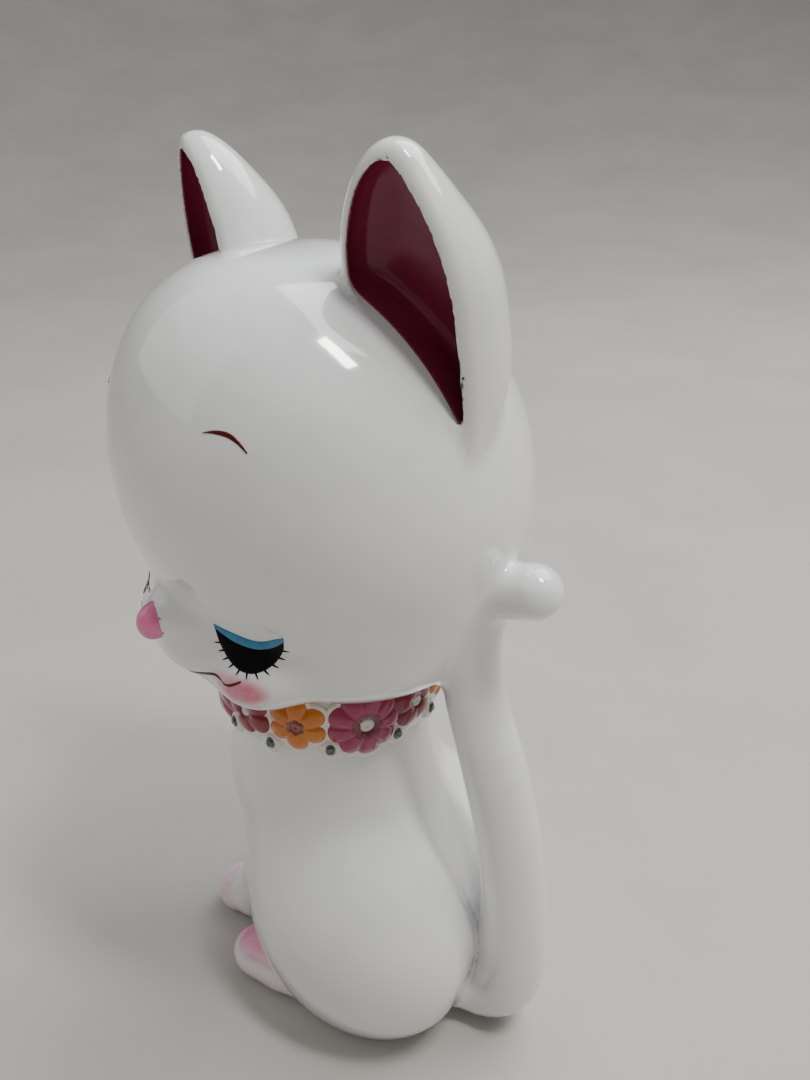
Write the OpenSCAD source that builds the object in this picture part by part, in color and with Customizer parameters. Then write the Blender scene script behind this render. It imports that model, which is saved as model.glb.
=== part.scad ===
// Seated cat figurine: a hollow glazed ceramic cat whose head looks sideways over
// its shoulder, with a flower garland and a tail that stands clear as a handle.
// The body sits in profile towards -X, the face looks nearly along -Y, +Z is up.

/* [Head] */
// Height of the figurine to the tips of the ears
figure_h = 256; // [230:1:290]
// Radius of the head at its widest
head_r = 57; // [50:0.5:60]
// Height of the crown of the head above the widest level
crown_h = 60.5; // [50:0.5:64]
// Degrees the face turns from straight sideways towards the front paws
face_turn = 16; // [0:1:25]
// How far the nose button stands out from the snout
nose_out = 4; // [2:0.5:5]

/* [Body] */
// Half width of the body over both haunches
body_half_w = 43.5; // [40:0.5:50]
// Height of the haunches
haunch_h = 77; // [68:1:84]
// Wall thickness of the hollow castings
wall = 4; // [3:0.5:6]
// Length of a hind foot
foot_l = 32; // [26:1:38]

/* [Tail] */
// Radius of the tail at its root
tail_root_r = 9.8; // [8:0.1:11]
// Radius of the curled tip of the tail
tail_tip_r = 7; // [5.5:0.1:8]

/* [Garland] */
// Outer radius of the collar band
collar_r = 31.5; // [29:0.5:33]
// Number of times the run of three flowers repeats round the collar
flower_runs = 4; // [4:1:4]
// Height of the flower reliefs above the band
relief = 2.2; // [1.5:0.1:3]

/* [Enamel] */
// Thickness of the painted enamel marks
enamel_t = 0.35; // [0.3:0.05:0.6]
// Number of lashes on each closed eye
lash_count = 11; // [7:1:13]

/* [Base] */
// Radius of the pour hole in the base disc
pour_r = 9; // [7:0.5:11]
// Radial clearance between the stopper and the pour hole
stopper_fit = 0.08; // [0.05:0.01:0.1]
// Thickness of the base disc
disc_t = 5; // [4:0.5:7]

/* [Hidden] */
SIDES = ["left", "right"];
COLOURS = ["crimson", "yellow", "pink"];
PETALS = [6, 6, 8];

head_x = -5.7;                    // the head's own axis, its frame's X across and -Y the way it faces
head_y = 2.9;
neck_y = 1.2;
lift = figure_h - 256;            // everything above the collar rises with the height
widest_z = 172.5 + lift;
cheek_z = 145 + lift;
collar_z = 113;
flower_r = 7.6;                   // radius of a middling flower
cut = 400;                        // larger than the figurine
smooth = 36;                      // facets round a large blended form
fine = 20;                        // facets round a small blended form
shift = [-3.2, -3.2, 0];          // centres the whole figurine over the origin

// An ellipsoid at a centre with three radii.
module egg(centre, radii, facets = smooth) {
  hull() translate(centre) scale(radii) sphere(1, $fn = facets);
}

// A smooth limb: each pair of neighbouring stations [centre, radii] is blended.
module limb(stations, facets = smooth, grow = 0) {
  for (i = [0:len(stations) - 2]) hull() for (s = [stations[i], stations[i + 1]])
    translate(s[0]) scale([for (r = s[1]) max(r + grow, 0.5)]) sphere(1, $fn = facets);
}

module mirrored(side, plane_x = true) {
  if (side == "left") children();
  else if (plane_x) mirror([1, 0, 0]) children();
  else mirror([0, 1, 0]) children();
}

module above_floor(floor_z = 0) {
  intersection() {
    children();
    translate([-cut / 2, -cut / 2, floor_z]) cube([cut, cut, cut]);
  }
}

// ---- body ----
torso = [
  [[head_x, neck_y, 112], [27, 27, 10]],
  [[-6, 0.5, 98], [30, 28, 16]],
  [[-6, 0, 76], [37, 30, 24]],
  [[2, 0, 46], [39, 30, 32]],
  [[5, 0, 18], [38, 31, 26]]];
haunch_r = [38, 26, haunch_h / 2 + 3];
haunch_c = [13, -(body_half_w - haunch_r[1]), haunch_h - haunch_r[2]];

module body_form(grow = 0, facets = smooth) {
  above_floor() {
    limb(torso, facets, grow);
    for (side = SIDES) mirrored(side, false) hull() {
      egg(haunch_c, [for (r = haunch_r) r + grow], facets);
      egg([0, -6, haunch_h + 8], [24 + grow, 16 + grow, 12 + grow], facets);
    }
  }
}

module base_opening(grow = 0) {
  translate([5, 0, -1]) cylinder(r = 23 + grow, h = disc_t + 1, $fn = 96);
}

module body_shell() {
  color("ivory") difference() {
    body_form();
    above_floor(disc_t + 1.5) body_form(-wall, fine);
    base_opening(0.1);
    translate([5, 0, disc_t - 0.5]) cylinder(r = 19, h = 8, $fn = 96);
    translate([head_x, neck_y, 100]) cylinder(r = 20, h = 40, $fn = 64);
    tail_form();
    collar_seat();
    on_head() head_form();
  }
}

module base_disc() {
  color("ivory") translate([5, 0, 0]) rotate_extrude($fn = 128) polygon([
    [pour_r, 1.5], [12, 1.5], [12, 0], [23, 0], [23, disc_t], [pour_r, disc_t]]);
}

module base_stopper() {
  r = pour_r - stopper_fit;
  color("dimgray") translate([5, 0, 0]) rotate_extrude($fn = 128) polygon([
    [0, 0.6], [11.2, 0.6], [11.2, 1.4], [r, 1.4], [r, disc_t + 0.4],
    [r - 1.2, disc_t + 4], [4, disc_t + 4], [4, 4], [0, 4]]);
}

// ---- feet ----
hind_foot_line = [
  [[-2, -25, 6], [9, 8, 8]],
  [[-12, -26.5, 6.5], [foot_l / 2 - 6, 8.5, 8.5]],
  [[-22, -26.5, 6.2], [foot_l / 2 - 6, 8.6, 8.2]]];
front_paw_line = [
  [[-24, -10, 44], [9, 8, 12]],
  [[-31, -10, 22], [9, 8.4, 12]],
  [[-38, -10, 9], [9.5, 8.6, 9]],
  [[-44.5, -10, 7], [9.5, 8.6, 8.2]]];

module hind_foot() {
  color("pink") difference() {
    above_floor() limb(hind_foot_line, fine);
    body_form();
  }
}

module front_paw() {
  color("pink") difference() {
    above_floor() limb(front_paw_line, fine);
    body_form();
    limb(hind_foot_line, fine);
  }
}

// ---- tail ----
tail_line = [[40, 11], [49, 10.6], [56.2, 17], [58.7, 30], [57.6, 52], [54.4, 78], [49.2, 100],
  [43.6, 119], [41.2, 135], [43.6, 148.4], [49, 154.6], [58, 157.6]];
function tail_r(i) = let (t = i / (len(tail_line) - 1))
  tail_root_r + (tail_tip_r - tail_root_r) * t * t;

module tail_form(facets = fine) {
  for (i = [0:len(tail_line) - 2]) hull() for (k = [i, i + 1])
    translate([tail_line[k][0], 0, tail_line[k][1]]) sphere(tail_r(k), $fn = facets);
}

module tail() {
  color("ivory") difference() {
    above_floor() tail_form();
    on_head() head_form();
  }
}

// ---- head, in its own frame ----
function grown(radii, grow) = [for (r = radii) r + grow];

module on_head() {
  translate([head_x, head_y, 0]) rotate([0, 0, -face_turn]) children();
}

module dome(grow = 0, facets = smooth) {
  hull() {
    egg([0, 3, widest_z], grown([head_r, head_r - 5.4, crown_h], grow), facets);
    egg([0, -4, widest_z + 9.5], grown([head_r - 7, head_r - 8, crown_h - 9.5], grow), facets);
    egg([0, 1, cheek_z - 12], grown([46, 44, 15.5], grow), facets);
  }
}

module head_form(grow = 0, facets = smooth) {
  dome(grow, facets);
  for (s = [-1, 1]) {
    hull() {
      egg([17.5 * s, -33.4, cheek_z - 5.5], grown([14, 14.1, 13], grow), fine);
      egg([0, -40.5, cheek_z - 2], grown([17, 11.5, 11], grow), fine);
    }
    limb([[[19.5 * s, -35.5, cheek_z + 3.5], [7, 7, 7]],
      [[2 * s, -47.4, cheek_z + 6], [5, 5, 5]]], fine, grow);
  }
  limb([[[0, -40, cheek_z + 2], [9.5, 9.5, 9.5]],
    [[0, -48.5, cheek_z + 6.5], [5.4, 5.4, 5.4]]], fine, grow);
}

module head_shell() {
  color("ivory") difference() {
    on_head() head_form();
    on_head() dome(-wall, fine);
    translate([head_x, neck_y, 100]) cylinder(r = 20, h = 40, $fn = 64);
    collar_seat();
    on_head() nose_form();
  }
}

module nose_form() {
  limb([[[0, -51.5, cheek_z + 6], [3.9, 3.6, 4.3]],
    [[0, -53.2, cheek_z + 5.1], [4.1, nose_out + 0.3, 4.8]]], fine);
}

module nose() { color("hotpink") nose_form(); }

// ---- ears, in the head's frame ----
// Stations [centre, radius] up the ear; its opening is cut flat on a sloping plane.
ear_line = [[[48.5, -1, 195], 5.6], [[43.6, 3, 199.5], 10.8], [[39.5, 4.6, 210], 15.2],
  [[37.4, 3, 224], 16.6], [[36.6, -1.3, 235], 14.2], [[36.8, -4.2, 245], 9.3],
  [[37.9, -5.2, figure_h - 6 - lift], 6]];

module ear_limb(grow = 0) {
  for (i = [0:len(ear_line) - 2]) hull() for (s = [ear_line[i], ear_line[i + 1]])
    translate(s[0] + [0, 0, lift]) sphere(s[1] + grow, $fn = 32);
}

// The space from a distance behind the opening's plane back to another.
module behind_opening(near = 0, far = 60) {
  translate([40, -6.65, 230 + lift]) rotate([7.6, 0, 11.8]) translate([-60, near, -60])
    cube([120, far - near, 120]);
}

module ear_scoop(rim = 1.9, near = -1, far = 11) {
  intersection() {
    ear_limb(-rim);
    behind_opening(near, far);
  }
}

module ear() {
  color("ivory") difference() {
    intersection() {
      ear_limb();
      behind_opening();
    }
    ear_scoop();
    head_form();
  }
}

module ear_lining() {
  color("crimson") difference() {
    ear_scoop(1.9, 0.6);
    ear_scoop(2.7, -1, 10.2);
    head_form();
  }
}

// ---- collar and garland ----
module collar_seat() {
  translate([head_x, neck_y, 0]) rotate_extrude($fn = 96)
    translate([22, collar_z - 7.5]) square([collar_r - 22 + 0.001, 16.5]);
}

module band_form() {
  translate([head_x, neck_y, 0]) rotate_extrude($fn = 128)
    translate([22, collar_z - 7.5]) square([collar_r - 22, 16.5]);
}

module collar_band() { color("linen") band_form(); }

// Angle of a flower from straight ahead, towards the cat's left.
function flower_angle(kind, i) = 360 / flower_runs * (i - 1) + [-8.5, 20, 53][kind];
function flower_size(kind) = [0.95, 1, 1.28][kind] * flower_r;

module on_collar(angle, z = collar_z + 1.5) {
  translate([head_x, neck_y, z]) rotate([0, 0, angle]) translate([0, -collar_r, 0])
    rotate([90, 0, 0]) children();
}

module flower(kind, i) {
  size = flower_size(kind);
  petal = size * 0.36;
  color(["firebrick", "gold", "palevioletred"][kind]) difference() {
    on_collar(flower_angle(kind, i)) difference() {
      union() {
        translate([0, 0, -0.6]) cylinder(r = size * 0.62, h = relief * 0.7 + 0.6, $fn = 48);
        for (k = [0:PETALS[kind] - 1]) rotate(360 / PETALS[kind] * (k + 0.5))
          translate([size - petal, 0, -1.6]) cylinder(r = petal, h = relief + 1.6, $fn = 32);
      }
      translate([0, 0, -2]) cylinder(r = size * 0.3, h = relief * 2 + 2, $fn = 32);
    }
    band_form();
    if (kind == 0) on_collar(flower_angle(2, i - 1)) translate([0, 0, -2])
      cylinder(r = flower_size(2) + 0.05, h = 9, $fn = 64);
    translate([-cut / 2, -cut / 2, collar_z + 7]) cube([cut, cut, 30]);
  }
}

module flower_centres(kind) {
  size = flower_size(kind);
  color(["white", "saddlebrown", "white"][kind]) difference() {
    for (i = [1:flower_runs]) on_collar(flower_angle(kind, i)) translate([0, 0, -0.6])
      cylinder(r = size * 0.3 - 0.02, h = relief * 0.8 + 0.6, $fn = 32);
    band_form();
  }
}

module collar_leaves() {
  color("darkgreen") difference() {
    for (kind = [0:2], i = [1:flower_runs]) let (gap = [13.5, 15.5, 17][kind])
      on_collar(flower_angle(kind, i) + gap, collar_z - 5) translate([0, 0, -0.6])
        cylinder(r = 1.4, h = relief * 0.6 + 0.6, $fn = 24);
    band_form();
  }
}

// ---- enamel marks on the face ----
// Centre of the circle through three points, as [x, z, radius].
function circle_of(a, b, c) = let (
    d = 2 * (a[0] * (b[1] - c[1]) + b[0] * (c[1] - a[1]) + c[0] * (a[1] - b[1])),
    x = ((a * a) * (b[1] - c[1]) + (b * b) * (c[1] - a[1]) + (c * c) * (a[1] - b[1])) / d,
    z = ((a * a) * (c[0] - b[0]) + (b * b) * (a[0] - c[0]) + (c * c) * (b[0] - a[0])) / d)
  [x, z, norm(a - [x, z])];

eye_in = [15.9, cheek_z + 8.3];
eye_out = [31, cheek_z + 7.7];
eye_low = [24.5, cheek_z - 1.5];
lid_dip = [23.7, cheek_z + 4.6];
shadow_top = [24.4, cheek_z + 6.4];

module disc_through(a, b, c) {
  k = circle_of(a, b, c);
  translate([k[0], k[1]]) circle(k[2], $fn = 72);
}

// A flat mark projected straight back on to the head and raised by the enamel's thickness.
module enamel(side = "left") {
  on_head() mirrored(side) intersection() {
    rotate([90, 0, 0]) linear_extrude(height = 90) children();
    difference() { head_form(enamel_t); head_form(); }
  }
}

module lid_2d() {
  difference() {
    disc_through(eye_in, eye_low, eye_out);
    disc_through(eye_in, lid_dip, eye_out);
    translate([0, eye_in[1] + 1]) square([40, 40]);
  }
}

module shadow_2d() {
  intersection() {
    difference() {
      disc_through(eye_in, lid_dip, eye_out);
      disc_through(eye_in, shadow_top, eye_out);
    }
    translate([eye_in[0], cheek_z]) square([eye_out[0] - eye_in[0], 14]);
  }
}

module stroke(a, b, w) {
  length = norm(b - a);
  translate(a) rotate(atan2(b[1] - a[1], b[0] - a[0])) translate([0, -w / 2]) square([length, w]);
}

module lashes_2d() {
  k = circle_of(eye_in, eye_low, eye_out);
  for (i = [0:lash_count - 1]) {
    a = 198 + 144 * i / (lash_count - 1);
    dir = [cos(a), sin(a)];
    stroke([k[0], k[1]] + dir * (k[2] + 0.05), [k[0], k[1]] + dir * (k[2] + 1.7), 0.5);
  }
}

module eyelid(side) { color("black") enamel(side) lid_2d(); }
module eye_shadow(side) { color("steelblue") enamel(side) shadow_2d(); }
module lashes(side) { color("black") enamel(side) lashes_2d(); }
module brow(side) {
  color("darkred") enamel(side) difference() {
    disc_through([22.1, widest_z + 29.9], [27.3, widest_z + 30.2], [31.4, widest_z + 26.9]);
    disc_through([22.1, widest_z + 29.8], [27.1, widest_z + 29], [31.4, widest_z + 26.7]);
  }
}
module mouth_line() {
  color("firebrick") enamel() for (s = [-1, 1]) scale([s, 1]) {
    stroke([0, cheek_z - 9.6], [12.4, cheek_z - 5.9], 0.8);
    stroke([12.2, cheek_z - 6], [18.4, cheek_z - 3.9], 0.8);
  }
}
module dimple(side) {
  color("firebrick") enamel(side) stroke([20.6, cheek_z - 5.7], [25.4, cheek_z - 3.7], 0.7);
}

module put() { translate(shift) children(); }

put() body_shell();
put() base_disc();
put() base_stopper();
put() tail();
put() head_shell();
put() on_head() nose();
put() collar_band();
put() mouth_line();
put() collar_leaves();
for (side = SIDES) {
  put() mirrored(side, false) hind_foot();
  put() mirrored(side, false) front_paw();
  put() on_head() mirrored(side) ear();
  put() on_head() mirrored(side) ear_lining();
  put() eyelid(side);
  put() eye_shadow(side);
  put() lashes(side);
  put() brow(side);
  put() dimple(side);
}
for (kind = [0:2]) {
  put() flower_centres(kind);
  for (i = [1:flower_runs])
    put() flower(kind, i);
}
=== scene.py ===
"""Looks for the seated cat figurine: glazed skin, painted face, relief garland, camera and light."""
import bpy
import math
import numpy as np
from mathutils import Matrix


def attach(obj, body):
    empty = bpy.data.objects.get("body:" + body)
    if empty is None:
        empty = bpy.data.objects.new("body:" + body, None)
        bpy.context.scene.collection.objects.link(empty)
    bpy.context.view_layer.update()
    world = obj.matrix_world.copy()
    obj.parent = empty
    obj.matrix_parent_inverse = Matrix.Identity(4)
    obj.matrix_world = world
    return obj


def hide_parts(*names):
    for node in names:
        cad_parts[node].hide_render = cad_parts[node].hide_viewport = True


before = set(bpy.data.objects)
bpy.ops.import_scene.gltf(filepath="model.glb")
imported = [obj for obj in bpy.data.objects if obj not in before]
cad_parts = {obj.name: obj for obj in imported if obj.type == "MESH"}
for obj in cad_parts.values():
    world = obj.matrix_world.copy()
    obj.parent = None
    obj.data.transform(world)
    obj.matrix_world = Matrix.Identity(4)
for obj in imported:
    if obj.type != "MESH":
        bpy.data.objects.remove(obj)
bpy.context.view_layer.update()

# ---- the figurine's shape as distances in millimetres ----
# Before SHIFT the head's axis stands at HEAD_AT; the body faces -X and the tail stands at +X.
SHIFT = np.array([-3.2, -3.2, 0.0])
HEAD_AT = np.array([-5.7, 2.9])
HEAD_YAW = math.radians(-16)
NECK = (-5.7, 1.2)
COLLAR_R = 31.5
COLLAR_Z = 110.0
MM = 0.001
SIDES = (("left", 1), ("right", -1))


def smin(a, b, k):
    """The lower of two distances, blended over k."""
    h = np.clip(0.5 + 0.5 * (b - a) / k, 0, 1)
    return b + (a - b) * h - k * h * (1 - h)


def smax(a, b, k):
    return -smin(-a, -b, k)


def egg(p, centre, radii):
    """Distance to an ellipsoid, close enough near its surface."""
    q = p - np.array(centre, float)
    r = np.array(radii, float)
    k0 = np.sqrt(((q / r) ** 2).sum(-1))
    k1 = np.sqrt(((q / (r * r)) ** 2).sum(-1))
    return k0 * (k0 - 1) / np.maximum(k1, 1e-9)


def chain(p, line, k=0.0):
    """Distance to a chain of [x, y, z, radius] stations joined by round cones."""
    line = np.array(line, float)
    best = None
    for a, b in zip(line[:-1], line[1:]):
        ab = b[:3] - a[:3]
        t = np.clip(((p - a[:3]) @ ab) / max(ab @ ab, 1e-9), 0, 1)
        d = np.sqrt(((p - a[:3] - t[..., None] * ab) ** 2).sum(-1)) - (a[3] + t * (b[3] - a[3]))
        best = d if best is None else (smin(best, d, k) if k else np.minimum(best, d))
    return best


def smooth_line(points, n):
    """A Catmull-Rom curve through the points, n steps a span."""
    pts = np.array(points, float)
    ext = np.vstack([2 * pts[0] - pts[1], pts, 2 * pts[-1] - pts[-2]])
    out = []
    for i in range(len(pts) - 1):
        a, b, c, d = ext[i:i + 4]
        for s in np.arange(n) / n:
            out.append(0.5 * (2 * b + (c - a) * s + (2 * a - 5 * b + 4 * c - d) * s * s
                              + (3 * b - a - 3 * c + d) * s ** 3))
    out.append(pts[-1])
    return np.array(out)


def to_head(p):
    """Points in the head's own frame: X across, -Y the way the face looks, Z up."""
    c, s = math.cos(HEAD_YAW), math.sin(HEAD_YAW)
    x = p[..., 0] - HEAD_AT[0]
    y = p[..., 1] - HEAD_AT[1]
    return np.stack([x * c + y * s, -x * s + y * c, p[..., 2]], -1)


def from_head(q):
    c, s = math.cos(HEAD_YAW), math.sin(HEAD_YAW)
    return np.stack([q[..., 0] * c - q[..., 1] * s + HEAD_AT[0],
                     q[..., 0] * s + q[..., 1] * c + HEAD_AT[1], q[..., 2]], -1)


# The torso's oval sections: height, centre x and y, radius along and across.
TORSO = smooth_line([(-6, 4, 0, 28, 23), (4, 4, 0, 33.5, 27.5), (20, 4, 0, 37, 30), (46, 1, 0, 37.5, 29.5),
                     (62, -2.4, 0, 37.2, 29.2), (76, -5.4, 0, 36, 28.8), (88, -6.3, 0.3, 33, 28),
                     (98, -6.2, 0.6, 30.2, 27.3), (108, -5.9, 1, 28, 26.8), (122, -5.7, 1.2, 26.6, 26.6)], 24)


def torso(p):
    """Distance to the loft through the sections, to scale at the neck, whose radius is about 27."""
    z = p[..., 2]
    cx, cy, rx, ry = [np.interp(z, TORSO[:, 0], TORSO[:, i]) for i in (1, 2, 3, 4)]
    d = (np.hypot((p[..., 0] - cx) / rx, (p[..., 1] - cy) / ry) - 1) * 27
    return smax(d, z - 120, 3)


def haunch(p, side):
    q = p * np.array([1, side, 1])
    return egg(q, (13, -17.5, 35.5), (37.5, 25.5, 41))


def body_core(p):
    h = smin(haunch(p, 1), haunch(p, -1), 6)
    return smin(torso(p), h, 10)


def hind_foot(p, side):
    q = p * np.array([1, side, 1])
    return smin(smin(egg(q, (-2, -25, 6), (9, 8, 8)), egg(q, (-12, -26.5, 6.5), (10, 8.5, 8.3)), 4),
                egg(q, (-22, -26.5, 6.2), (9.6, 8.6, 8)), 4)


def front_paw(p, side):
    q = p * np.array([1, side, 1])
    return chain(q, [(-24, -10, 44, 8.5), (-31, -10, 24, 8.3), (-37, -10, 10, 8.6), (-45, -10, 7, 8.4)], 2)


# Stations from the tail's root to its end: centre x, y, z and radius. They were moved and rounded
# by hand from a scratch script's printed ray hits.
TAIL = smooth_line([(40, 0, 11, 10.2), (49, 0, 10.6, 9.9), (56.2, 0, 17, 9.6), (58.7, 0, 30, 9.4),
                    (57.6, 0, 52, 9.5), (54.4, 0, 78, 9.3), (49.2, 0, 100, 9), (43.6, 0, 119, 8.3),
                    (41.2, 0, 135, 8), (43.6, 0, 148.4, 7.4), (49, 0, 154.6, 7), (58, 0, 157.6, 7)], 4)


def tail(p):
    return chain(p, TAIL)


def dome(q):
    """The skull, whose front is lifted by up to 9.5 mm, on a rounded underside."""
    t = np.clip(-q[..., 1] / 46, 0, 1)
    brow = t * t * (3 - 2 * t)
    up = np.stack([q[..., 0] / (1 - 0.03 * brow), q[..., 1] / (1 - 0.03 * brow), q[..., 2] - 9.5 * brow], -1)
    d = egg(up, (0, 0, 172.5), (57, 54.6, 60.5))
    return smin(d, egg(q, (0, 0, 135), (44, 43, 14)), 12)


def mask(q):
    """Cheeks, muzzle and the bridge up to the nose."""
    a = np.stack([np.abs(q[..., 0]), q[..., 1], q[..., 2]], -1)
    cheek = egg(a, (17.5, -33.4, 139.5), (14, 14.1, 13))
    muzzle = egg(q, (0, -40.5, 143), (17, 11.5, 11))
    snout = chain(q, [(0, -40, 147, 9.5), (0, -48.5, 151.5, 5.4)])
    side = chain(a, [(19.5, -35.5, 148.5, 7), (2, -47.4, 151, 5)])
    d = smin(cheek, muzzle, 6)
    d = smin(d, snout, 5)
    return smin(d, side, 4)


# Stations down one ear, from its tip to its root: centre x, y, z and radius.
EAR = smooth_line([(37.9, -5.2, 250, 6), (36.8, -4.2, 245, 9.3), (36.7, -3, 240, 12),
                   (36.6, -1.3, 235, 14.2), (36.8, 1, 230, 15.9), (37.4, 3, 224, 16.6),
                   (38.8, 4.6, 214, 15.9), (40.2, 4.6, 206.5, 14.6), (43.6, 3, 199.5, 10.8),
                   (48.5, -1, 195, 5.6)], 3)


def ear_hull(a):
    return chain(a, EAR, 1.5)


def ear_front(a):
    """How far a point stands in front of the ear's opening."""
    low = np.maximum(0, 224 - a[..., 2])
    y = -6.65 + 0.209 * (a[..., 0] - 40) - 0.133 * (a[..., 2] - 230) - 0.0012 * low * low
    return (y - a[..., 1]) * 0.97


def ear_scoop(a):
    return smax(ear_hull(a) + 1.9, -ear_front(a) - 11, 9)


def ear_solid(a):
    return smax(smax(ear_hull(a), ear_front(a), 2.4), -ear_scoop(a), 0.9)


def mirror_x(q, side):
    return q * np.array([side, 1, 1])


def head_core(q):
    return smin(dome(q), mask(q), 4.5)


def nose(q):
    return smin(egg(q, (0, -53.2, 150.1), (3.7, 4.3, 4.7)), egg(q, (0, -50.5, 151), (3.4, 4.2, 4.2)), 2)


# ---- a field's surface as a quad mesh ----
def surface(field, low, high, step):
    """Closed quad mesh of field = 0 inside a box, points moved on to the true surface."""
    low, high = np.array(low, float), np.array(high, float)
    n = np.maximum(np.ceil((high - low) / step).astype(int), 4)
    axes = [low[i] + step * np.arange(n[i] + 1) for i in range(3)]
    values = np.empty(n + 1, np.float32)
    yz = np.stack(np.meshgrid(axes[1], axes[2], indexing="ij"), -1)
    for i, x in enumerate(axes[0]):
        p = np.concatenate([np.full(yz.shape[:2] + (1,), x), yz], -1)
        values[i] = field(p)
    inside = values < 0
    corner = [(0, 0, 0), (1, 0, 0), (0, 1, 0), (1, 1, 0), (0, 0, 1), (1, 0, 1), (0, 1, 1), (1, 1, 1)]
    cells = [inside[c[0]:n[0] + c[0], c[1]:n[1] + c[1], c[2]:n[2] + c[2]] for c in corner]
    count = sum(c.astype(np.int8) for c in cells)
    active = (count > 0) & (count < 8)
    idx = -np.ones(n, np.int64)
    where = np.argwhere(active)
    idx[tuple(where.T)] = np.arange(len(where))
    total = np.zeros((len(where), 3))
    hits = np.zeros(len(where))
    for a in range(8):
        for axis in range(3):
            if corner[a][axis]:
                continue
            b = list(corner[a])
            b[axis] = 1
            ia = where + np.array(corner[a])
            ib = where + np.array(b)
            va, vb = values[tuple(ia.T)], values[tuple(ib.T)]
            cross = (va < 0) != (vb < 0)
            t = np.where(cross, va / np.where(cross, va - vb, 1), 0)
            point = ia + t[:, None] * (ib - ia)
            total[cross] += point[cross]
            hits += cross
    verts = low + step * total / hits[:, None]
    faces = []
    for axis in range(3):
        u, v = [(1, 2), (2, 0), (0, 1)][axis]
        head = [slice(None)] * 3
        tail_ = [slice(None)] * 3
        head[axis] = slice(0, n[axis])
        tail_[axis] = slice(1, n[axis] + 1)
        for s in (head, tail_):
            for o in (u, v):
                s[o] = slice(1, n[o])
        va, vb = inside[tuple(head)], inside[tuple(tail_)]
        for flip, mask_ in ((False, va & ~vb), (True, ~va & vb)):
            base = np.argwhere(mask_)
            if not len(base):
                continue
            base[:, u] += 1
            base[:, v] += 1
            quad = []
            for du, dv in ((1, 1), (0, 1), (0, 0), (1, 0)):
                c = base.copy()
                c[:, u] -= du
                c[:, v] -= dv
                quad.append(idx[tuple(c.T)])
            q = np.stack(quad, 1)
            faces.append(q[:, ::-1] if flip else q)
    faces = np.concatenate(faces)
    for _ in range(3):
        d = field(verts)
        g = slope(field, verts)
        size = np.maximum((g * g).sum(-1), 0.25)
        move = np.clip(d / size, -step, step)[:, None] * g
        verts = verts - 0.9 * move
    return verts, faces


def slope(field, p, h=0.02):
    """The field's gradient by central differences."""
    g = np.empty_like(p)
    for i in range(3):
        e = np.zeros(3)
        e[i] = h
        g[..., i] = (field(p + e) - field(p - e)) / (2 * h)
    return g


# ---- skins: each casting's surface with its fillets ----
def ears(q):
    return np.minimum(ear_solid(mirror_x(q, 1)), ear_solid(mirror_x(q, -1)))


def feet(p):
    return np.minimum(np.minimum(hind_foot(p, 1), hind_foot(p, -1)),
                      np.minimum(front_paw(p, 1), front_paw(p, -1)))


def head_skin(p):
    q = to_head(p)
    d = smin(head_core(q), ears(q), 3)
    d = smax(d, -(nose(q) + 0.6), 0.4)
    d = smin(d, tail(p), 4)
    return smax(d, -collar_hole(p), 1)


def collar_hole(p):
    r = np.hypot(p[..., 0] - NECK[0], p[..., 1] - NECK[1])
    return np.maximum(r - 30.5, p[..., 2] - (COLLAR_Z + 13.2))


def body_skin(p):
    d = smin(body_core(p), tail(p), 7)
    d = smin(d, np.minimum(hind_foot(p, 1), hind_foot(p, -1)), 1.2)
    d = smin(d, np.minimum(front_paw(p, 1), front_paw(p, -1)), 1.6)
    d = smax(d, -p[..., 2], 1.2)
    r = np.hypot(p[..., 0] - 5, p[..., 1])
    return np.maximum(d, np.minimum(23.15 - r, 6 - p[..., 2]))


def part(skin, region, lap=1.4):
    """A piece of a skin: inside its region it is the skin, past it the piece dips under its neighbour."""
    def field(p):
        r = region(p)
        return np.maximum(skin(p) + 0.3 * np.maximum(r, 0), r - lap)
    return field


def link(obj):
    bpy.context.collection.objects.link(obj)
    return obj


def mesh_piece(name, verts, faces, material, field=None, body="figurine"):
    """A piece from millimetre points; its normals come from the field it was cut from."""
    me = bpy.data.meshes.new(name)
    me.from_pydata(((np.asarray(verts) + SHIFT) * MM).tolist(), [], [list(map(int, f)) for f in faces])
    me.validate()
    me.update()
    me.polygons.foreach_set("use_smooth", [True] * len(me.polygons))
    if field is not None and len(me.vertices) == len(verts):
        g = slope(field, np.asarray(verts), 0.05)
        g /= np.maximum(np.linalg.norm(g, axis=1), 1e-9)[:, None]
        me.normals_split_custom_set_from_vertices(g.tolist())
    me.materials.append(material)
    obj = link(bpy.data.objects.new(name, me))
    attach(obj, body)
    return obj


def field_piece(name, field, low, high, step, material, cad_node):
    verts, faces = surface(field, low, high, step)
    obj = mesh_piece(name, verts, faces, material, field)
    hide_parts(cad_node)
    return obj


# ---- materials ----
def new_material(name):
    mat = bpy.data.materials.new(name)
    mat.use_nodes = True
    nt = mat.node_tree
    return mat, nt, nt.nodes["Principled BSDF"]


def node(nt, kind, **values):
    n = nt.nodes.new(kind)
    for key, value in values.items():
        if key in n.inputs:
            n.inputs[key].default_value = value
        else:
            setattr(n, key, value)
    return n


def coordinates(nt):
    return node(nt, "ShaderNodeTexCoord").outputs["Object"]


def noise(nt, scale, detail=3.0, roughness=0.55):
    n = node(nt, "ShaderNodeTexNoise", Scale=scale, Detail=detail, Roughness=roughness)
    nt.links.new(coordinates(nt), n.inputs["Vector"])
    return n.outputs["Fac"]


def ramp(nt, fac, low, high, a=0.0, b=1.0):
    n = node(nt, "ShaderNodeMapRange")
    n.interpolation_type = "SMOOTHSTEP"
    for key, value in (("From Min", low), ("From Max", high), ("To Min", a), ("To Max", b)):
        n.inputs[key].default_value = value
    nt.links.new(fac, n.inputs["Value"])
    return n.outputs["Result"]


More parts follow.
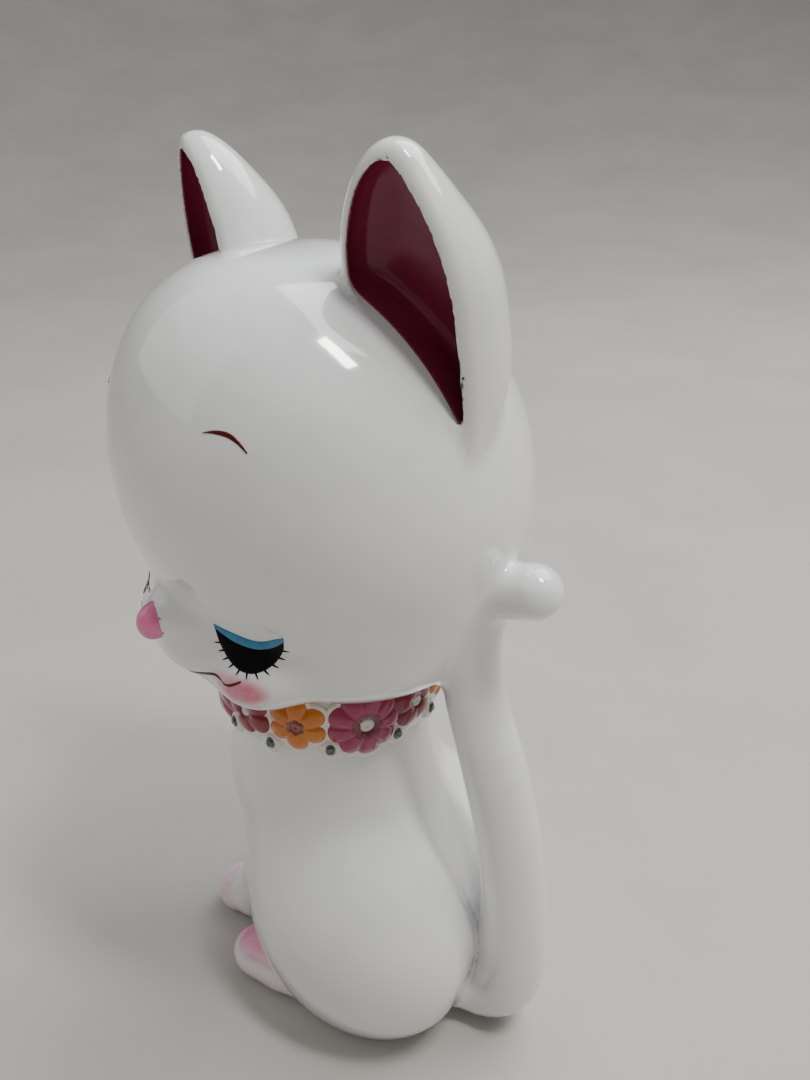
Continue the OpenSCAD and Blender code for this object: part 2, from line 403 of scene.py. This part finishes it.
def mix(nt, fac, a, b):
    n = nt.nodes.new("ShaderNodeMix")
    n.data_type = "RGBA"
    if isinstance(fac, float):
        n.inputs["Factor"].default_value = fac
    else:
        nt.links.new(fac, n.inputs["Factor"])
    for socket, value in (("A", a), ("B", b)):
        s = [i for i in n.inputs if i.name == socket and i.type == "RGBA"][0]
        if isinstance(value, tuple):
            s.default_value = value + (1.0,)
        else:
            nt.links.new(value, s)
    return [o for o in n.outputs if o.type == "RGBA"][0]


def maths(nt, op, a, b=None):
    n = nt.nodes.new("ShaderNodeMath")
    n.operation = op
    for i, value in enumerate((a, b)):
        if value is None:
            continue
        if isinstance(value, (int, float)):
            n.inputs[i].default_value = value
        else:
            nt.links.new(value, n.inputs[i])
    return n.outputs[0]


def near(nt, centre_mm, radii_mm, yaw=0.0, low=0.45, high=1.0):
    """1 at an airbrushed spot's centre, falling softly to 0 at its radii."""
    m = node(nt, "ShaderNodeMapping")
    m.vector_type = "TEXTURE"
    at = (np.array(centre_mm) + SHIFT) * MM
    m.inputs["Location"].default_value = tuple(at)
    m.inputs["Rotation"].default_value = (0, 0, yaw)
    m.inputs["Scale"].default_value = tuple(r * MM for r in radii_mm)
    nt.links.new(coordinates(nt), m.inputs["Vector"])
    length = node(nt, "ShaderNodeVectorMath")
    length.operation = "LENGTH"
    nt.links.new(m.outputs[0], length.inputs[0])
    return ramp(nt, length.outputs["Value"], low, high, 1.0, 0.0)


def glaze(name, base, variation, spots=(), rough=0.12, bump=0.00025, pinholes=True, grain=0.0, coat=1.0):
    """Gloss glaze: cloudy colour, airbrushed spots, a slow ripple and a few pinholes."""
    mat, nt, bsdf = new_material(name)
    colour = mix(nt, ramp(nt, noise(nt, 26, 4), 0.35, 0.7), base, variation)
    for centre, radii, yaw, tint, strength in spots:
        soft = near(nt, centre, radii, yaw)
        cloud = ramp(nt, noise(nt, 240, 3), 0.2, 0.8, 0.75, 1.0)
        fac = maths(nt, "MULTIPLY", maths(nt, "MULTIPLY", soft, strength), cloud)
        colour = mix(nt, fac, colour, tint)
    if grain:
        streak = ramp(nt, noise(nt, 520, 4, 0.7), 0.35, 0.75, 0.0, grain)
        colour = mix(nt, streak, colour, variation)
    height = noise(nt, 34, 2, 0.4)
    bump_node = node(nt, "ShaderNodeBump", Strength=0.5, Distance=bump)
    nt.links.new(height, bump_node.inputs["Height"])
    normal = bump_node.outputs[0]
    if pinholes:
        vor = node(nt, "ShaderNodeTexVoronoi", Scale=61.0, Randomness=1.0)
        nt.links.new(coordinates(nt), vor.inputs["Vector"])
        pick = ramp(nt, noise(nt, 19, 1), 0.56, 0.6)
        dot = maths(nt, "MULTIPLY", ramp(nt, vor.outputs["Distance"], 0.012, 0.024, 1.0, 0.0), pick)
        colour = mix(nt, maths(nt, "MULTIPLY", dot, 0.8), colour, (0.16, 0.13, 0.12))
        pit = node(nt, "ShaderNodeBump", Strength=0.6, Distance=0.0002)
        nt.links.new(maths(nt, "SUBTRACT", 1.0, dot), pit.inputs["Height"])
        nt.links.new(normal, pit.inputs["Normal"])
        normal = pit.outputs[0]
    nt.links.new(colour, bsdf.inputs["Base Color"])
    nt.links.new(ramp(nt, noise(nt, 90, 3), 0.3, 0.7, rough * 0.8, rough * 1.3), bsdf.inputs["Roughness"])
    nt.links.new(normal, bsdf.inputs["Normal"])
    bsdf.inputs["Coat Weight"].default_value = coat
    bsdf.inputs["Specular IOR Level"].default_value = 0.5 * coat
    bsdf.inputs["Coat Roughness"].default_value = 0.03
    bsdf.inputs["Coat IOR"].default_value = 1.5
    return mat


def matt(name, base, variation, scale, rough, bump):
    mat, nt, bsdf = new_material(name)
    nt.links.new(mix(nt, ramp(nt, noise(nt, scale, 5), 0.3, 0.7), base, variation), bsdf.inputs["Base Color"])
    b = node(nt, "ShaderNodeBump", Strength=0.6, Distance=bump)
    nt.links.new(noise(nt, scale * 6, 4), b.inputs["Height"])
    nt.links.new(b.outputs[0], bsdf.inputs["Normal"])
    nt.links.new(ramp(nt, noise(nt, scale * 2, 3), 0.3, 0.7, rough * 0.9, min(1.0, rough * 1.1)),
                 bsdf.inputs["Roughness"])
    return mat


WHITE = (0.86, 0.865, 0.86)
CLOUD = (0.79, 0.80, 0.80)
BLUSH = (0.80, 0.30, 0.42)


def head_spot(x, y, z):
    return tuple(from_head(np.array([x, y, z], float)))


face_spots = [(head_spot(s * 25.8, -47, 137.8), (9.5, 9, 6), HEAD_YAW, (0.66, 0.07, 0.18), 1.0)
              for s in (1, -1)]
face_spots += [(head_spot(s * 20.5, -48.1, 140.5), (5, 6, 3.2), HEAD_YAW, BLUSH, 0.6) for s in (1, -1)]
foot_spots = [((-20, s * 24, 15), (21, 14, 10), 0.0, (0.74, 0.14, 0.32), 0.95) for s in (-1, 1)]
paw_spots = [((-50, s * 12, 12), (13, 12, 15), 0.0, (0.80, 0.42, 0.55), 0.6) for s in (-1, 1)]

white_head = glaze("white_glaze_head", WHITE, CLOUD, face_spots)
white_body = glaze("white_glaze_body", WHITE, CLOUD,
                   [((-14, s * 32, 8), (20, 12, 6), 0.0, (0.80, 0.45, 0.50), 0.35) for s in (-1, 1)])
white_plain = glaze("white_glaze_plain", WHITE, CLOUD)
foot_glaze = glaze("blush_glaze_feet", (0.86, 0.78, 0.79), (0.84, 0.72, 0.75), foot_spots)
paw_glaze = glaze("blush_glaze_paws", (0.86, 0.82, 0.83), (0.84, 0.77, 0.79), paw_spots)
nose_glaze = glaze("pink_glaze_nose", (0.80, 0.17, 0.38), (0.72, 0.11, 0.29), pinholes=False, grain=0.4)
lining_glaze = glaze("crimson_glaze_ears", (0.26, 0.026, 0.065), (0.19, 0.017, 0.045),
                     pinholes=False, rough=0.22, grain=0.35, coat=0.35)
cream_glaze = glaze("cream_glaze_garland", (0.80, 0.76, 0.68), (0.70, 0.64, 0.55), pinholes=False, grain=0.25)
black_enamel = glaze("black_enamel", (0.002, 0.002, 0.002), (0.005, 0.005, 0.006), pinholes=False, coat=0.12)
blue_enamel = glaze("blue_enamel", (0.022, 0.16, 0.32), (0.07, 0.29, 0.48), pinholes=False,
                    grain=0.5, coat=0.4)
red_enamel = glaze("red_enamel", (0.16, 0.005, 0.006), (0.035, 0.004, 0.005), pinholes=False,
                   grain=0.5, coat=0.3)
leaf_glaze = glaze("leaf_green_glaze", (0.010, 0.045, 0.028), (0.016, 0.075, 0.035), pinholes=False)
brown_glaze = glaze("brown_glaze_centres", (0.33, 0.055, 0.012), (0.20, 0.02, 0.008), pinholes=False,
                    grain=0.5)
pearl_glaze = glaze("pearl_glaze_centres", (0.66, 0.64, 0.60), (0.50, 0.46, 0.44), pinholes=False)
petal_glaze = {
    "crimson": glaze("crimson_glaze_petals", (0.33, 0.008, 0.040), (0.17, 0.004, 0.020), pinholes=False,
                     grain=0.6, coat=0.6),
    "yellow": glaze("yellow_glaze_petals", (0.68, 0.22, 0.008), (0.48, 0.11, 0.004), pinholes=False,
                    grain=0.6, coat=0.6),
    "pink": glaze("pink_glaze_petals", (0.42, 0.030, 0.115), (0.24, 0.010, 0.050), pinholes=False,
                  grain=0.7, coat=0.6),
    "heart": glaze("dark_glaze_petal_hearts", (0.20, 0.008, 0.030), (0.12, 0.004, 0.014), pinholes=False,
                   grain=0.5, coat=0.6)}
bisque = matt("bare_bisque", (0.62, 0.58, 0.52), (0.50, 0.46, 0.40), 80, 0.85, 0.0002)
rubber = matt("stopper_rubber", (0.025, 0.025, 0.026), (0.045, 0.044, 0.043), 120, 0.6, 0.0001)

# ---- the castings ----
fine = 1.0


def head_only(p):
    q = to_head(p)
    h = head_core(q)
    return 0.5 * np.maximum(h - ears(q), h - tail(p))


head = field_piece("cat_head", part(head_skin, head_only), (-68, -60, 118), (56, 62, 238), 1.2 * fine,
                   white_head, "head_shell")


def ear_skin(a):
    """One ear and the head round it, in the head's own frame."""
    return smin(head_core(a), ear_solid(a), 3)


def mirrored_mesh(verts, faces, side):
    if side > 0:
        return verts, faces
    return verts * np.array([-1, 1, 1]), faces[:, ::-1]


ear_field = part(ear_skin, lambda a: 0.5 * (ear_solid(a) - head_core(a)))


def lining_field(a):
    """The crimson coat: just proud of the skin in the opening, dipping under it along the rim."""
    skin = ear_skin(a)
    edge = smax(ear_scoop(a) - 0.6, ear_front(a) + 0.8, 0.6)
    coat = skin - 0.3 + 1.5 * np.maximum(edge + 0.2, 0)
    return 0.6 * smax(coat, -skin - 1.3, 0.3)


for name, field, step, mat, slot_name in (
        ("ear", ear_field, 0.8 * fine, white_plain, "white_glaze"),
        ("ear_lining", lining_field, 0.5 * fine, lining_glaze, "ear_crimson")):
    ev, ef = surface(field, (14, -18, 186), (62, 26, 259), step)
    for side, s in SIDES:
        v, f = mirrored_mesh(ev, ef, s)
        obj = mesh_piece("%s_%s" % (side, name), from_head(v), f, mat,
                         lambda p, s=s, fld=field: fld(mirror_x(to_head(p), s)))
        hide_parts("%s_%s" % (side, name))

nose_piece = field_piece("pink_nose", lambda p: nose(to_head(p)), (-30, -64, 141), (-12, -38, 160),
                         0.4 * fine, nose_glaze, "nose")


def tail_only(p):
    t = tail(p)
    return 0.5 * np.maximum(t - head_core(to_head(p)), t - body_core(p))


def tail_skin(p):
    d = smin(tail(p), body_core(p), 7)
    d = smin(d, head_core(to_head(p)), 4)
    return smax(d, -p[..., 2], 1.2)


tail_piece = field_piece("cat_tail", part(tail_skin, tail_only), (26, -14, -2), (72, 14, 168), 1.0 * fine,
                         white_plain, "tail")


def body_only(p):
    b = body_core(p)
    return 0.5 * np.maximum(b - tail(p), b - feet(p))


body = field_piece("cat_body", part(body_skin, body_only), (-50, -50, -2), (56, 50, 126), 1.3 * fine,
                   white_body, "body_shell")

for side, s in SIDES:
    foot = field_piece("%s_hind_foot_glazed" % side,
                       part(body_skin, lambda p, s=s: 0.5 * (hind_foot(p, s) - np.minimum(
                           body_core(p), front_paw(p, s)))),
                       (-36, min(-38 * s, -8 * s), -2), (10, max(-38 * s, -8 * s), 18), 0.9 * fine,
                       foot_glaze, "%s_hind_foot" % side)
    paw = field_piece("%s_front_paw_glazed" % side,
                      part(body_skin, lambda p, s=s: 0.5 * (front_paw(p, s) - np.minimum(
                          body_core(p), hind_foot(p, s)))),
                      (-58, min(-22 * s, 0), -2), (-18, max(-22 * s, 0), 56), 0.9 * fine,
                      paw_glaze, "%s_front_paw" % side)

# ---- enamel marks on the face ----
# A mark is drawn in (a, z): a is mm from the nose round a circle of FACE_R, z the height.
FACE_R = 50
EYE_MID = (26.9, 149.6)
LASHES = 11
# The right eye and brow sit this many mm further out than a mirror image would. It was set to
# suit the camera's view, and nothing seen on the object supports it.
FAR_EYE_OUT = 3


def on_face(a, z):
    """The head's surface at a and z, marched to from outside, in the head's own frame."""
    r = np.full_like(a, 72.0)
    for _ in range(110):
        q = np.stack([r * np.sin(a / FACE_R), -r * np.cos(a / FACE_R), z], -1)
        r = r - 0.7 * head_core(q)
    return np.stack([r * np.sin(a / FACE_R), -r * np.cos(a / FACE_R), z], -1)


def at_fraction(curve, t):
    """The points at fractions t of a curve's length."""
    s = np.concatenate([[0], np.cumsum(np.linalg.norm(np.diff(curve, axis=0), axis=1))])
    return np.stack([np.interp(t * s[-1], s, curve[:, 0]), np.interp(t * s[-1], s, curve[:, 1])], -1)


def enamel(lower, upper, side, across, along=48, raise_mm=0.16):
    """A closed mark between smooth curves through two lists of (a, z), proud of the glaze and let into it."""
    t = np.linspace(0, 1, along)
    lo, up = at_fraction(smooth_line(lower, 12), t), at_fraction(smooth_line(upper, 12), t)
    w = np.linspace(0, 1, across)[:, None, None]
    grid = lo[None] * (1 - w) + up[None] * w
    q = on_face(grid[..., 0], grid[..., 1])
    g = slope(head_core, q)
    g /= np.linalg.norm(g, axis=-1, keepdims=True)
    edge = np.sin(np.linspace(0, math.pi, across))[:, None, None] ** 0.5
    top = q + g * (raise_mm * (0.35 + 0.65 * edge))
    low = q - g * 0.5
    verts = np.concatenate([top.reshape(-1, 3), low.reshape(-1, 3)])
    n, m, half = across, along, across * along
    faces = []
    for i in range(n - 1):
        for j in range(m - 1):
            a, b, c, d = i * m + j, i * m + j + 1, (i + 1) * m + j + 1, (i + 1) * m + j
            faces += [(a, b, c, d), (a + half, d + half, c + half, b + half)]
    ring = list(range(m)) + [i * m + m - 1 for i in range(1, n)]
    ring += [(n - 1) * m + j for j in range(m - 2, -1, -1)] + [i * m for i in range(n - 2, 0, -1)]
    for a, b in zip(ring, ring[1:] + ring[:1]):
        faces.append((b, a, a + half, b + half))
    verts, faces = mirrored_mesh(verts, np.array(faces), side)
    return from_head(verts), faces


# These ten lists are, almost unchanged, the printout of a scratch script. It carried points picked
# on the photograph along the camera's rays on to the face.
LID_TOP = [(16.9, 153.2), (17.9, 152.2), (21.9, 150.5), (25.5, 149.7), (29.4, 149.2),
           (32.7, 149.6), (35.2, 151.1)]
LID_LOW = [(16.9, 153.2), (18.3, 149.8), (19.7, 147.7), (21.6, 145.8), (24.6, 144.2),
           (26.4, 143.7), (28.1, 143.6), (29.6, 143.9), (31.2, 144.5), (32.7, 145.5),
           (33.6, 146.5), (34.8, 148.5), (35.2, 151.1)]
SHADOW_TOP = [(16.8, 153.5), (21.1, 152.5), (26.6, 151.4), (30.1, 151.1), (33.8, 152.1), (35.4, 152.7)]
SHADOW_LOW = [(16.8, 153.2), (17.8, 152.1), (21.9, 150.3), (25.5, 149.5), (29.4, 149.0),
              (32.7, 149.4), (35.3, 151.0)]
BROW_TOP = [(22.7, 202.4), (25.7, 203.1), (28.7, 202.9), (31.0, 201.5), (32.9, 199.3)]
BROW_LOW = [(22.7, 202.3), (25.7, 202.3), (28.3, 201.9), (30.5, 200.9), (32.7, 199.1)]
SMILE_TOP = [(0.0, 135.7), (3.6, 135.1), (7.4, 137.1), (12.5, 139.4), (17.0, 141.2),
             (18.8, 141.1), (19.9, 140.0)]
SMILE_LOW = [(0.0, 135.2), (3.7, 134.6), (7.6, 136.4), (12.6, 138.7), (17.1, 140.4),
             (18.8, 140.3), (19.9, 139.8)]
TICK_TOP = [(20.1, 139.9), (20.9, 139.6), (22.3, 140.1), (25.2, 141.7)]
TICK_LOW = [(20.1, 139.5), (20.9, 139.0), (22.6, 139.4), (25.3, 141.2)]


def faces_joined(chunks):
    verts, faces, base = [], [], 0
    for v, f in chunks:
        verts.append(v)
        faces.append(np.asarray(f) + base)
        base += len(v)
    return np.concatenate(verts), np.concatenate(faces)


def lash(i):
    """The two edges of one short stroke that springs from the lid's lower edge."""
    p = at_fraction(smooth_line(LID_LOW, 12), 0.16 + 0.74 * i / (LASHES - 1))
    away = p - np.array(EYE_MID)
    away /= np.linalg.norm(away)
    side = np.array([-away[1], away[0]])
    bend = side * 0.25 * math.cos(i * 0.9)
    root, mid, tip = p - away * 0.25, p + away * 0.7 + bend * 0.4, p + away * 1.55 + bend
    w = 0.24
    return ([root - side * w, mid - side * w * 0.8, tip - side * w * 0.25],
            [root + side * w, mid + side * w * 0.8, tip + side * w * 0.25])


def shifted(points, out):
    return [(a + out, z) for a, z in points]


for side, s in SIDES:
    out = 0 if s > 0 else FAR_EYE_OUT
    marks = [("eyelid", shifted(LID_LOW, out), shifted(LID_TOP, out), black_enamel, "black_enamel", 16),
             ("eye_shadow", shifted(SHADOW_LOW, out), shifted(SHADOW_TOP, out),
              blue_enamel, "blue_enamel", 8),
             ("brow", shifted(BROW_LOW, out), shifted(BROW_TOP, out), red_enamel, "red_enamel", 6),
             ("dimple", TICK_LOW, TICK_TOP, red_enamel, "red_enamel", 5)]
    for name, low, top, mat, slot_name, across in marks:
        v, f = enamel(low, top, s, across)
        obj = mesh_piece("%s_%s_enamel" % (side, name), v, f, mat)
        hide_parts("%s_%s" % (side, name))
    v, f = faces_joined([enamel(*[shifted(edge, out) for edge in lash(i)], s, 4, 10, 0.14)
                         for i in range(LASHES)])
    obj = mesh_piece("%s_lashes_enamel" % side, v, f, black_enamel)
    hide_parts("%s_lashes" % side)
v, f = faces_joined([enamel(SMILE_LOW, SMILE_TOP, s, 5, 30, 0.12) for s in (1, -1)])
obj = mesh_piece("mouth_enamel", v, f, red_enamel)
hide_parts("mouth_line")


# ---- garland ----
def wrap(angle, z, u, w, h):
    """A point on the garland's band: u along it, w up, h out of it."""
    a = angle + u / COLLAR_R
    r = COLLAR_R + h
    return np.stack([NECK[0] + r * np.sin(a), NECK[1] - r * np.cos(a), z + w], -1)


SPOKES = 96


def relief(angle, z, size, petals, height, turn=0.0, grow=0.0, lobe_depth=0.2, sunk=0.0, rings=14,
           spokes=SPOKES, squeeze=1.0):
    """A flower-shaped relief on the band: closed shell of a polar height field."""
    th = np.linspace(0, 2 * math.pi, spokes, endpoint=False)
    lobe = np.abs(np.cos(petals * (th - turn) / 2)) ** 0.55
    out = size * (1 - lobe_depth + lobe_depth * lobe) + grow
    t = np.linspace(0, 1, rings)
    t = 1 - (1 - t) ** 1.4
    r = t[:, None] * out[None]
    rise = np.sqrt(np.clip(1 - t[:, None] ** 5, 0, 1))
    groove = (1 - lobe[None]) ** 1.5 * np.clip(t[:, None] * 1.6 - 0.3, 0, 1)
    cup = 0.72 + 0.28 * np.sin(math.pi * np.clip(t[:, None] * 1.15 - 0.1, 0, 1))
    h = height * rise * cup * (1 - 0.5 * groove) - sunk * np.exp(-(t[:, None] / 0.22) ** 4)
    h = np.where(t[:, None] >= 1, -0.4, h)
    u, w = r * np.cos(th)[None] * squeeze, r * np.sin(th)[None]
    top = wrap(angle, z, u, w, h)
    centre = top[0].mean(0, keepdims=True)
    verts = [centre] + [top[1:].reshape(-1, 3)]
    back = wrap(angle, z, u[-1] * 0.9, w[-1] * 0.9, np.full(spokes, -1.0))
    hub = wrap(angle, z, np.zeros(1), np.zeros(1), np.full(1, -1.0))
    verts = np.concatenate(verts + [back, hub])
    n = spokes
    faces = []
    for j in range(n):
        k = (j + 1) % n
        faces.append((0, 1 + j, 1 + k, 1 + k))
        for i in range(rings - 2):
            a = 1 + i * n
            faces.append((a + j, a + n + j, a + n + k, a + k))
        a = 1 + (rings - 2) * n
        faces.append((a + j, a + n + j, a + n + k, a + k))
        faces.append((a + n + j, len(verts) - 1, a + n + k, a + n + k))
    return verts, np.array(faces)


def tidy(faces):
    """Quads that name a point twice become triangles."""
    return [tuple(dict.fromkeys(int(i) for i in f)) for f in faces]


KINDS = ("crimson", "yellow", "pink")
OFFSET = {"crimson": -8.5, "yellow": 20, "pink": 53}
SIZE = {"crimson": 8.5, "yellow": 8.6, "pink": 10.6}
COUNT = {"crimson": 5, "yellow": 6, "pink": 9}
HEIGHT = {"crimson": 2.1, "yellow": 2.0, "pink": 2.3}
FLOWER_Z = {"crimson": 115.6, "yellow": 115.6, "pink": 114.8}
LEAF = {"crimson": 14, "yellow": 15.5, "pink": 16.5}
TURN = {"crimson": 0.2, "yellow": 1.05, "pink": 0.1}
LOBE = {"crimson": 0.26, "yellow": 0.3, "pink": 0.13}
BASE_LOBE = {"crimson": 0.2, "yellow": 0.24, "pink": 0.1}
HEART_RINGS = {"crimson": 3, "yellow": 3, "pink": 4}
RUNS = 4
bases, leaves = [], []
centres = {k: [] for k in KINDS}
for kind in KINDS:
    for i in range(RUNS):
        angle = math.radians(360 / RUNS * i + OFFSET[kind])
        turn = 0.5 + 0.9 * i + TURN[kind]
        v, f = relief(angle, FLOWER_Z[kind], SIZE[kind], COUNT[kind], HEIGHT[kind], turn, sunk=0.7,
                      lobe_depth=LOBE[kind])
        obj = mesh_piece("%s_flower_%d_relief" % (kind, i + 1), v, tidy(f), petal_glaze[kind])
        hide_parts("%s_flower_%d" % (kind, i + 1))
        obj.data.materials.append(brown_glaze if kind == "yellow" else petal_glaze["heart"])
        for face in obj.data.polygons:
            face.material_index = int(max(face.vertices) < 1 + SPOKES * HEART_RINGS[kind])
        bases.append(relief(angle, FLOWER_Z[kind] - 0.3, SIZE[kind], COUNT[kind], 0.9, turn, grow=1.2,
                            lobe_depth=BASE_LOBE[kind]))
        centres[kind].append(relief(angle, FLOWER_Z[kind], SIZE[kind] * 0.26, 1, 1.9, lobe_depth=0.0,
                                    rings=8, spokes=40))
        leaf = angle + math.radians(LEAF[kind])
        leaves.append(relief(leaf, COLLAR_Z - 2.3, 2.3, 1, 1.9, 1.57, lobe_depth=0.15, rings=8, spokes=40,
                             squeeze=0.7))
        bases.append(relief(leaf, COLLAR_Z - 2.6, 3.4, 1, 1.2, lobe_depth=0.0, rings=8, spokes=40))
for kind, mat, slot_name in (("crimson", pearl_glaze, "white_glaze"), ("yellow", brown_glaze, "centre_brown"),
                             ("pink", pearl_glaze, "white_glaze")):
    v, f = faces_joined(centres[kind])
    obj = mesh_piece("%s_centres_relief" % kind, v, tidy(f), mat)
    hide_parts("%s_flower_centres" % kind)
v, f = faces_joined(leaves)
obj = mesh_piece("leaves_relief", v, tidy(f), leaf_glaze)
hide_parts("collar_leaves")

# The band's section as radius and height over COLLAR_Z.
profile = [(24, -4.4), (30.6, -4.4), (31.3, -4.1), (31.6, -3.2), (31.5, -2), (31.4, 2), (31.3, 9), (31, 13.5),
           (24, 13.5)]
turns = 120
ring = np.array([[NECK[0] + r * math.sin(a), NECK[1] - r * math.cos(a), COLLAR_Z + z]
                 for a in np.linspace(0, 2 * math.pi, turns, endpoint=False) for r, z in profile])
m = len(profile)
ring_faces = np.array([(i * m + j, ((i + 1) % turns) * m + j, ((i + 1) % turns) * m + (j + 1) % m,
                        i * m + (j + 1) % m) for i in range(turns) for j in range(m)])
v, f = faces_joined([(ring, ring_faces)] + bases)
obj = mesh_piece("garland_band", v, tidy(f), cream_glaze)
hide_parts("collar_band")

# ---- carried-over CAD pieces ----
for name, mat in (("base_disc", bisque), ("base_stopper", rubber)):
    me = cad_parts[name].data
    me.materials.clear()
    me.materials.append(mat)

# ---- camera, floor and light ----
# The directions and the place are the printout of a scratch fit to the photograph, and the lens is
# worked out from that fit's focal length.
right = np.array([0.845, 0.535, -0.016])
ahead = np.array([-0.482, 0.748, -0.456])
ahead = ahead / np.linalg.norm(ahead)
right = right - ahead * (right @ ahead)
right = right / np.linalg.norm(right)
up = np.cross(right, ahead)
place = (np.array([128.4, -165.6, 262.9]) + SHIFT) * MM
cam = bpy.data.cameras.new("photo_camera")
cam.sensor_fit = "VERTICAL"
cam.sensor_height = 36
cam.lens = 28.91
cam.clip_start = 0.01
cam_obj = link(bpy.data.objects.new("photo_camera", cam))
cam_obj.matrix_world = Matrix([[right[i], up[i], -ahead[i], place[i]] for i in range(3)] + [[0, 0, 0, 1]])
bpy.context.scene.camera = cam_obj

floor_mat = matt("pale_floor", (0.52, 0.50, 0.465), (0.48, 0.455, 0.42), 6, 0.85, 0.0001)
FLAT_R, CURVE_R, around = 1.2, 2.6, 96      # a flat disc that curves up into a bowl, metres
rise = [(r, 0.0) for r in (0.0, FLAT_R / 2, FLAT_R)]
rise += [(FLAT_R + CURVE_R * math.sin(a), CURVE_R - CURVE_R * math.cos(a))
         for a in np.linspace(0.08, math.pi / 2, 24)]
verts = [(r * math.cos(a), r * math.sin(a), z) for r, z in rise
         for a in np.linspace(0, 2 * math.pi, around, endpoint=False)]
me = bpy.data.meshes.new("floor")
me.from_pydata(verts, [], [(i * around + j, i * around + (j + 1) % around,
                            (i + 1) * around + (j + 1) % around, (i + 1) * around + j)
                           for i in range(len(rise) - 1) for j in range(around)])
me.validate()
me.polygons.foreach_set("use_smooth", [True] * len(me.polygons))
me.materials.append(floor_mat)
floor = link(bpy.data.objects.new("floor", me))


def area_light(name, at, target, size, power, colour=(1, 1, 1), size_y=None):
    data = bpy.data.lights.new(name, "AREA")
    data.energy = power
    data.color = colour
    data.shape = "RECTANGLE"
    data.size = size
    data.size_y = size_y or size
    obj = link(bpy.data.objects.new(name, data))
    z = np.array(at, float) - np.array(target, float)
    z /= np.linalg.norm(z)
    x = np.cross([0, 0, 1], z)
    x /= np.linalg.norm(x)
    y = np.cross(z, x)
    obj.matrix_world = Matrix([[x[i], y[i], z[i], at[i]] for i in range(3)] + [[0, 0, 0, 1]])


middle = (0, 0, 0.14)
area_light("overhead_soft", (0.35, 0.75, 1.5), middle, 1.3, 24)
area_light("window_key", (0.46, -0.01, 1.12), middle, 0.12, 6.5, (1.0, 0.99, 0.97), size_y=0.3)
area_light("left_fill", (-1.6, -0.9, 1.5), middle, 2.2, 8)
world = bpy.data.worlds.new("studio")
world.use_nodes = True
world.node_tree.nodes["Background"].inputs["Color"].default_value = (0.93, 0.96, 1.0, 1)
world.node_tree.nodes["Background"].inputs["Strength"].default_value = 0.45
bpy.context.scene.world = world
